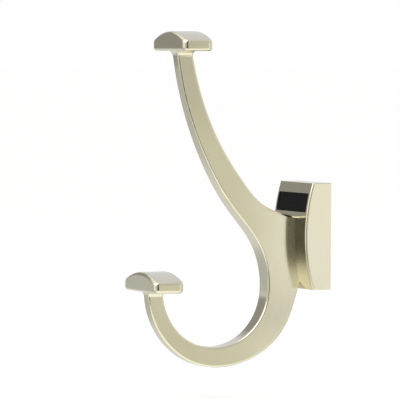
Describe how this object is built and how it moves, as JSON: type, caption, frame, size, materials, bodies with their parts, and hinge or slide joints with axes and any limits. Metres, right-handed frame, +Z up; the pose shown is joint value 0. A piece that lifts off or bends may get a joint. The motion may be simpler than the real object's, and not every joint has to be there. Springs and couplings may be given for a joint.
{
  "type": "coat hook",
  "caption": "Wall coat hook with a long upper prong and a looped lower prong, each ending in an arched cap, on a bulging rectangular plate over a hidden bracket.",
  "frame": {"origin": "middle of the wall bracket's screw holes, on the wall plane at the back of the plate", "axes": "+Y into the wall, -Y the way the hook projects, +Z up, X across the hook"},
  "size_m": [0.0348, 0.0868, 0.1502],
  "materials": {
    "satin_nickel": "satin nickel plating with a warm champagne cast on a zinc casting",
    "black_inlay": "smooth matt black strip",
    "zinc_plated_steel": "bright zinc-plated steel"
  },
  "bodies": {
    "root": {"wall_plate": "satin_nickel", "black_inlay": "black_inlay", "hook_arm": "satin_nickel", "arm_screws": "zinc_plated_steel", "wall_bracket": "zinc_plated_steel", "set_screw": "zinc_plated_steel"}
  },
  "joints": []
}
